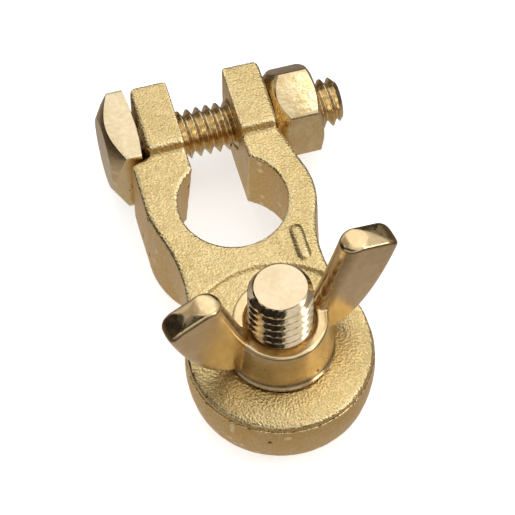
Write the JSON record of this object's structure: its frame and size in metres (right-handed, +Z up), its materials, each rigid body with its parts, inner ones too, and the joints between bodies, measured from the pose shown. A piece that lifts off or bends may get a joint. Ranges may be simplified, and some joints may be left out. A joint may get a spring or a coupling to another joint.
{
  "type": "battery ground clamp",
  "caption": "Cast brass battery post clamp: split ring drawn shut by a bolt, with an upright stud and wing nut for a ground cable lug.",
  "frame": {"origin": "on the axis of the post bore, level with the underside of the ring", "axes": "+X along the clamp bolt towards its nut, +Y from the bore towards the ears, +Z up the battery post and the stud"},
  "size_m": [0.0331, 0.0541, 0.0277],
  "materials": {
    "cast_brass": "sand cast and blasted, fine grain",
    "bolt_brass": "satin, machined flats",
    "nut_brass": "satin, machined flats",
    "stud_brass": "bright, rolled thread",
    "wing_brass": "polished casting"
  },
  "bodies": {
    "casting": {"clamp_body": "cast_brass"},
    "clamp_bolt": {"clamp_bolt": "bolt_brass"},
    "clamp_nut": {"clamp_nut": "nut_brass"},
    "stud": {"stud": "stud_brass"},
    "wing_nut": {"wing_nut": "wing_brass"}
  },
  "joints": [
    {"name": "clamp_nut_turn", "type": "hinge", "parent": "casting", "child": "clamp_nut", "pos_m": [0.00885, 0.0145, 0.0066], "axis": [1, 0, 0], "range_deg": [0, 2521]},
    {"name": "clamp_bolt_draw", "type": "slide", "parent": "casting", "child": "clamp_bolt", "axis": [-1, 0, 0], "range_m": [0, 0.00889]},
    {"name": "wing_nut_turn", "type": "hinge", "parent": "casting", "child": "wing_nut", "pos_m": [0, -0.0218, 0.0113], "axis": [0, 0, 1], "range_deg": [0, 3241]},
    {"name": "stud_draw", "type": "slide", "parent": "casting", "child": "stud", "axis": [0, 0, -1], "range_m": [0, 0.0127]}
  ],
  "couplings": [
    {"joint": "clamp_nut_turn", "follows": "clamp_bolt_draw", "rad_per_m": 4947.4},
    {"joint": "wing_nut_turn", "follows": "stud_draw", "rad_per_m": 4452.7}
  ]
}
